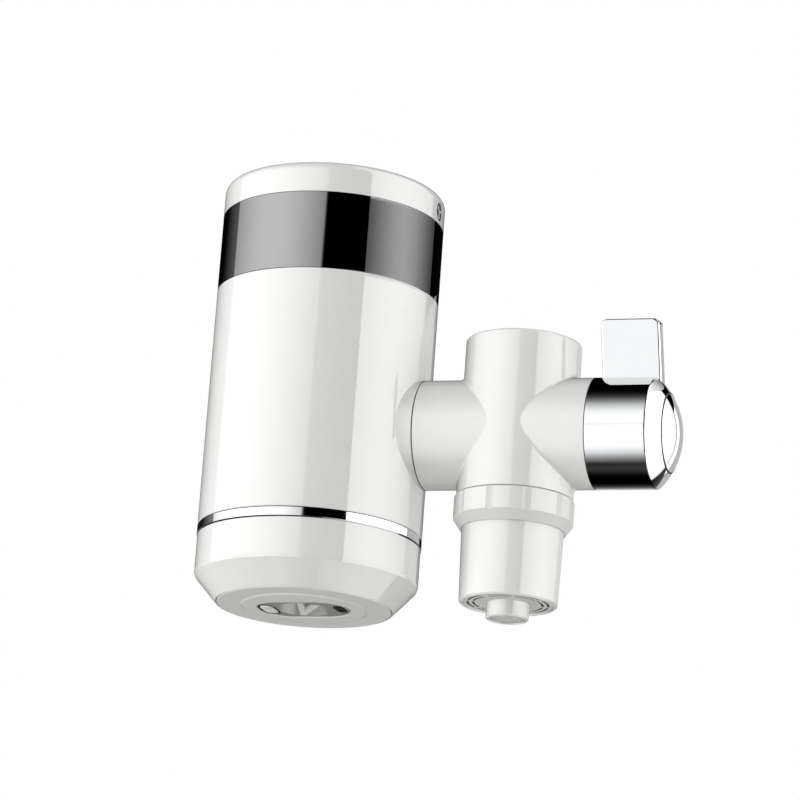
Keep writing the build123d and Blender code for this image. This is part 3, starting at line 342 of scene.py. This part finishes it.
# Rosette: the white plate in the base round the oblong mouth. The mouth sits on a shallow swell that starts
# with a small step, and its lip is rounded.
heater_x = -63.5
face_z = -81.8
rosette_r, rosette_t = 26.4, 2.6
swell_r, swell_rise = 19.3, 0.7
step_w, step_rise = 0.9, 0.42
mouth_half, mouth_side, lip_r = 14.3, 9.35, 0.45
rim_round, back_bevel, mouth_bevel = 0.4, 0.3, 0.4


def drop(reach):
    """How far the rosette's face stands below its flat part at a distance from the middle: a rounded step
    3 s^2 - 2 s^3 at the swell's edge, and within it a cap that falls with the square of the distance."""
    step = np.clip((swell_r - reach) / step_w, 0, 1)
    ball = np.clip(1 - (reach / (swell_r - step_w)) ** 2, 0, 1)
    return step_rise * step * step * (3 - 2 * step) + (swell_rise - step_rise) * ball


def rosette():
    """Closed shell between the mouth and the rim. Across it, t runs 0 to 1 from the mouth's outline, a
    straight 2 (half - side) long with half circles of the side's radius, to the rim's circle. The lip and
    the rim's edge are quarter circles, and the back is flat with two bevels."""
    turn = np.linspace(0, 2 * np.pi, 360, endpoint=False)[None, :]
    c, s = np.cos(turn), np.sin(turn)
    run = mouth_half - mouth_side
    end = run * np.abs(c) + np.sqrt(np.maximum(mouth_side**2 - (run * s) ** 2, 0))
    straight = mouth_side / np.maximum(np.abs(s), 1e-6)
    mouth = np.where(straight * np.abs(c) < run, straight, end)
    lip = np.radians(np.linspace(0, 90, 7))[:, None]
    inner = mouth + lip_r
    lip_reach = inner - lip_r * np.cos(lip)
    lip_z = face_z - drop(inner) + lip_r * (1 - np.sin(lip))
    t = np.linspace(0, 1, 60)[1:, None]
    edge = rosette_r - rim_round
    face_reach = inner + (edge - inner) * t
    rim = np.radians(np.linspace(0, 90, 5))[1:, None]
    rim_reach = edge + rim_round * np.sin(rim) + 0 * mouth
    rim_z = face_z + rim_round * (1 - np.cos(rim)) + 0 * mouth
    round_ring = 0 * mouth + rosette_r
    back_reach = np.concatenate([round_ring, round_ring - back_bevel, mouth + mouth_bevel, mouth])
    side_top = rosette_t - back_bevel
    back_z = face_z + np.array([[side_top], [rosette_t], [rosette_t], [side_top]]) + 0 * mouth
    reach = np.concatenate([lip_reach, face_reach, rim_reach, back_reach])
    z = np.concatenate([lip_z, face_z - drop(face_reach), rim_z, back_z])
    return np.stack([heater_x + reach * c, reach * s, z], -1)


plate = surface("rosette_plate", rosette(), white_abs, "valve_and_heater")
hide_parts("outlet_rosette")

# Grille: a nickelled plate in the mouth, with a web of two bars, a lens-shaped boss and a slot. Black
# fills the groove round the boss and closes the slot, as painted shade in them, and a pale cap sits on the
# boss. The tank's outlet pipe ends behind.
web_edges = (7.9, 8.0)
plate_painted_shade = 0.42
grille_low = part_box("outlet_grille")[0].z * 1000
boss_x, slot_x = -11.0, 11.6
groove_half, boss_half, cap_half, slot_half = (2.75, 5.95), (2.05, 5.05), (2.04, 5.04), (1.7, 4.15)
pinhole = (0.02, 0.02)
proud, shade_depth, cap_depth = 0.03, 0.4, 0.2

# Satin nickel: pale on the web's bars, and painted grey as shade on the plate round them.
satin = finish_of("satin_nickel", "#eeedea", 0.42, 0.8, metal=0.3, vary=0.03, stir=0.06, peel=0.003)
by_reach(satin, heater_x, web_edges, (1.0, plate_painted_shade))
dress(satin, "outlet_grille")
# Grey acetal: waxy, behind the grille's window.
dress(finish_of("acetal_grey", "#97989a", 0.4, 2.5, vary=0.04, stir=0.05, peel=0.003), "outlet_pipe")


def oval(name, middle, outer, inner, depth, material):
    """Flat ring between two ovals, from just below the grille's face to a depth inside it. The oval is
    |x/a|^3 + |y/b|^3 = 1 about a point on the heater's X line, with a and b its half sizes."""
    turn = np.linspace(0, 2 * np.pi, 72, endpoint=False)
    c, s = np.cos(turn), np.sin(turn)
    reach = (np.abs(c) ** 3 + np.abs(s) ** 3) ** (-1 / 3)
    wide, deep = np.array([outer, outer, inner, inner]).T[..., None]
    low, high = grille_low - proud, grille_low + depth
    z = np.array([low, high, high, low])[:, None] + 0 * turn
    grid = np.stack([heater_x + middle + wide * reach * c, deep * reach * s, z], -1)
    surface(name, grid, material, "valve_and_heater")


# The black in the boss's groove and in the slot is painted shade; the cap is pale acetal.
oval("boss_groove_shade", boss_x, groove_half, boss_half, shade_depth, black_nylon_and_shade)
oval("boss_cap", boss_x, cap_half, pinhole, cap_depth, acetal)
oval("slot_shade_plug", slot_x, slot_half, pinhole, shade_depth, black_nylon_and_shade)

# Tank and electrics: a drawn steel tank with a bent tubular element, and a board with its relay beside it.
# The cable gland at the top lets the mains lead in.

# Silicone seals: brick red, soft and dull.
silicone = finish_of("red_silicone", "#a8392c", 0.6, 1.2, vary=0.05, stir=0.06, peel=0.006)
dress(silicone, "tank_seal", "element_bushes")
# Glass-fibre board under green lacquer, with the weave showing through as streaks.
board = finish_of("board_green", "#14512f", 0.3, (1.2, 4.0, 4.0), vary=0.25, stir=0.05, peel=0.01)
dress(board, "control_board")
# Moulded relay case: smooth and black.
dress(finish_of("relay_case", "#1f1f22", 0.35, 1.0, vary=0.08, stir=0.05, peel=0.003), "power_relay")
# Glossy sleeving on the inner leads.
dress(finish_of("lead_red", "#a52a22", 0.35, (1.0, 1.0, 3.0), vary=0.06, stir=0.05), "inner_leads")
# Grey nylon: a fine spark-eroded grain.
nylon_grey = finish_of("nylon_grey", "#6e7074", 0.42, 0.7, vary=0.05, stir=0.08, peel=0.008)
dress(nylon_grey, "cable_gland", "gland_nut")

# Camera: it stands low in front on the lever's side and looks up at the object through a long lens. Its
# place and directions were fitted to the outlines in the photograph.
look = Vector((-0.2884, 0.9176, 0.2738)).normalized()
right = Vector((0.9574, 0.2802, 0.0695)).normalized()
up = right.cross(look)
stand = Vector((0.31768, -1.13164, -0.35456))
lens = bpy.data.cameras.new("Camera")
lens.lens = 183.0
lens.sensor_width = 36.0
camera = bpy.data.objects.new("Camera", lens)
camera.matrix_world = Matrix.LocRotScale(stand, Matrix((right, up, -look)).transposed(), None)
bpy.context.scene.collection.objects.link(camera)
bpy.context.scene.camera = camera
bpy.context.scene.view_settings.view_transform = "Standard"

# Backdrop: the air all round is plain white where the camera, a mirror or glass looks into it. It lights
# the object more weakly than that.
fill_light, backdrop_light = 0.6, 1.0
white = (1.0, 1.0, 1.0, 1.0)
world = bpy.data.worlds.new("Studio")
bpy.context.scene.world = world
world.use_nodes = True
tree = world.node_tree
tree.nodes.clear()
ray = add(tree, "LightPath").outputs
seen = add(tree, "Math", {0: ray["Is Camera Ray"], 1: ray["Is Transmission Ray"]}, operation="MAXIMUM")
seen = add(tree, "Math", {0: seen.outputs[0], 1: ray["Is Glossy Ray"]}, operation="MAXIMUM")
fill = add(tree, "Background", Color=white, Strength=fill_light)
backdrop = add(tree, "Background", Color=white, Strength=backdrop_light)
mix = add(tree, "MixShader", {0: seen.outputs[0], 1: fill.outputs[0], 2: backdrop.outputs[0]})
add(tree, "OutputWorld", {"Surface": mix.outputs[0]})

# Room: a ball round the object that shows only in the gloss, with a tall soft box on each side of the
# camera and the dark between them. Its light follows the bearing a from the camera, positive to the
# right, and the height h, both in degrees.
room_r = 3.0
left_tone, right_tone, back_tone, low_tone = 1.75, 2.7, 0.2, 0.1


def bell(value, middle, width, power=2.0):
    """1 at the middle, falling smoothly to 0.37 a width away on either side: with x the distance from the
    middle in widths, it is e to the power of -x^power."""
    return np.exp(-(np.abs((value - middle) / width) ** power))


def rise(value, start, end):
    """Rises smoothly from 0 at the start to 1 at the end: 3 t^2 - 2 t^3."""
    t = np.clip((value - start) / (end - start), 0, 1)
    return t * t * (3 - 2 * t)


# Soft box cloth: it glows evenly over its weave, as strongly as the light on each point says.
cloth = bpy.data.materials.new("soft_box_cloth")
cloth.use_nodes = True
cloth.node_tree.nodes.clear()
strength = add(cloth.node_tree, "Attribute", attribute_name="light")
lamp = add(cloth.node_tree, "Emission", {"Strength": strength.outputs["Fac"]}, Color=white)
add(cloth.node_tree, "OutputMaterial", {"Surface": lamp.outputs[0]})


def only_in_gloss(name, points, light, wrap=False):
    """Stage piece over a grid of points in metres that only reflections see, glowing as light says.
    The columns close on themselves where wrap is set."""
    rows, columns = light.shape
    index = np.arange(rows * columns).reshape(rows, columns)
    after = np.roll(index, -1, 1)
    faces = np.stack([index[:-1], index[1:], after[1:], after[:-1]], -1)
    faces = faces if wrap else faces[:, :-1]
    mesh = bpy.data.meshes.new(name)
    mesh.from_pydata(points.reshape(-1, 3).tolist(), [], faces.reshape(-1, 4).tolist())
    glow = mesh.attributes.new("light", "FLOAT", "POINT")
    glow.data.foreach_set("value", light.ravel().astype(np.float32))
    mesh.materials.append(cloth)
    thing = bpy.data.objects.new(name, mesh)
    bpy.context.scene.collection.objects.link(thing)
    for unseen_by in ("camera", "diffuse", "transmission", "volume_scatter", "shadow"):
        setattr(thing, "visible_" + unseen_by, False)
    thing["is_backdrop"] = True


camera_bearing = math.atan2(-look.y, -look.x)
bearing, height = np.meshgrid(np.radians(np.arange(0, 360, 1.0)), np.radians(np.arange(-89, 90, 1.0)))
a = np.degrees((bearing - camera_bearing + np.pi) % (2 * np.pi) - np.pi)
h = np.degrees(height)
# The left box is brightest 66 degrees round and ends sharply beside the dark. Its far end comes up in a
# long weak slope and a sharp step, and its lower far corner is dark.
left = left_tone * bell(a, middle=-66, width=62, power=2.2) * rise(-a, start=8, end=11)
left = left * (0.25 * rise(a, start=-148, end=-118) + 0.75 * rise(a, start=-117, end=-115))
left = left * bell(h, middle=-9, width=np.where(h < -9, 49.0, 55.0), power=4.5)
left = left * (1 - (1 - rise(h, start=-35, end=-5)) * (1 - rise(a, start=-75, end=-55)))
# The right box is stronger, and has two sharp ends.
far_side = right_tone * bell(a, middle=68, width=58) * bell(h, middle=5, width=68, power=4)
far_side = far_side * rise(a, start=23, end=25) * rise(-a, start=-126, end=-124)
# A weak glow stands behind the object, and another lies under it.
back = back_tone * bell(np.abs(a), middle=180, width=45) * bell(h, middle=-10, width=14)
low = low_tone * bell(h, middle=-88, width=12)
flat_r = np.cos(height)
ball = room_r * np.stack([flat_r * np.cos(bearing), flat_r * np.sin(bearing), np.sin(height)], -1)
only_in_gloss("room", ball, left + far_side + back + low, wrap=True)

# Cards: flat panels that show only in the gloss. The black strip draws the dark line down each tube.
# Behind the object a grey card, a dark gap and a bright card draw the thin lines at the tube's right edge,
# and a far one in front lights the blade's flat face.
rim_y, rim_low, rim_high = 138, -70, 60
rim_cards = {"rim_card": (-10, 103, 0.55), "rim_gap": (103, 107, 0.0), "rim_light": (107, 150, 1.3)}


def card(name, lower, upper, tone):
    """Flat panel between a lower and an upper edge, each given by its two ends in mm."""
    only_in_gloss(name, np.array([lower, upper], float) / 1000, np.full((2, 2), tone))


def standing_card(name, start, end, low, high, tone):
    """Upright card on the line between two points, from one height to another, all in mm."""
    card(name, [(*start, low), (*end, low)], [(*start, high), (*end, high)], tone)


standing_card("black_strip", start=(15, -131.8), end=(78, -113), low=-200, high=250, tone=0.0)
for name, (start, end, tone) in rim_cards.items():
    standing_card(name, (start, rim_y), (end, rim_y), rim_low, rim_high, tone)
standing_card("blade_card", start=(-227, -972), end=(-167, -972), low=12, high=72, tone=1.15)
# These two paint the blade's face and side as a reflection in the hub's own mirror.
card(
    "blade_face_reflection", tone=0.88,
    lower=[(26, -4.4, -12.4), (44, -4.4, -12.4)], upper=[(24.9, -6.75, 5.5), (42.9, -6.75, 5.5)],
)
card(
    "blade_side_reflection", tone=0.0,
    lower=[(43.8, -4.5, -12.4), (43.8, 0.2, -11.7)], upper=[(42.7, -6.8, 5.5), (42.7, -2.1, 6.1)],
)

# Band card: a graded card keeps the smoked band's right side dark. It stands out along the mirrored view
# from each point of the band: a point that faces t from the camera's bearing mirrors what lies at 2 t.
band_r, band_low, band_high = 34.0, 61.5, 89.5
card_out, card_tone = 150.0, 1.1
turn = np.radians(np.linspace(8, 66, 30))
facing, mirrored = camera_bearing + turn, camera_bearing + 2 * turn
line = np.stack([
    heater_x + band_r * np.cos(facing) + card_out * np.cos(mirrored),
    band_r * np.sin(facing) + card_out * np.sin(mirrored),
    0 * turn,
], -1)
edges = (line + np.array([0, 0, band_low]), line + np.array([0, 0, band_high]))
graded = card_tone * bell(np.degrees(2 * turn), middle=80, width=36)
only_in_gloss("band_card", np.stack(edges) / 1000, np.stack([graded, graded]))

# Lamps: weak square soft boxes that light the surfaces but aren't seen in them. All aim at the middle of
# the object.
aim = Vector((-0.02, 0.0, -0.02))


def softbox(name, place, power):
    """Square area lamp of 1 m at a place in metres, with its power in watts."""
    data = bpy.data.lights.new(name, "AREA")
    data.shape = "SQUARE"
    data.size = 1.0
    data.energy = power
    lamp = bpy.data.objects.new(name, data)
    bpy.context.scene.collection.objects.link(lamp)
    way = aim - Vector(place)
    lamp.matrix_world = Matrix.LocRotScale(Vector(place), way.to_track_quat("-Z", "Y"), None)
    lamp.visible_glossy = False
    lamp.visible_camera = False


softbox("key", place=(-1.449, -0.909, -0.168), power=13.0)
softbox("front", place=(0.308, -1.042, 1.282), power=6.0)
softbox("side", place=(1.662, 0.072, 0.217), power=1.5)
softbox("left_rim", place=(-1.65, 0.25, 0.0), power=7.0)
softbox("right_rim", place=(1.02, 1.32, 0.1), power=8.0)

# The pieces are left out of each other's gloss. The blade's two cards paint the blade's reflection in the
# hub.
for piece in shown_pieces():
    piece.visible_glossy = False

# Floor: a pale board 1.2 m below the object, which hangs in the air as it would from its spout. The gloss
# doesn't show it.
floor_z, floor_half = -1.2, 6.0
corners = [(x * floor_half, y * floor_half, floor_z) for x, y in ((-1, -1), (1, -1), (1, 1), (-1, 1))]
floor = bpy.data.meshes.new("floor")
floor.from_pydata(corners, [], [(0, 1, 2, 3)])
ground = bpy.data.objects.new("floor", floor)
bpy.context.scene.collection.objects.link(ground)
# Matt painted board: an even off-white.
floor.materials.append(finish_of("studio_floor", "#f2f2f0", 0.6, 40.0, vary=0.01))
ground.visible_glossy = False
ground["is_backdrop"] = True
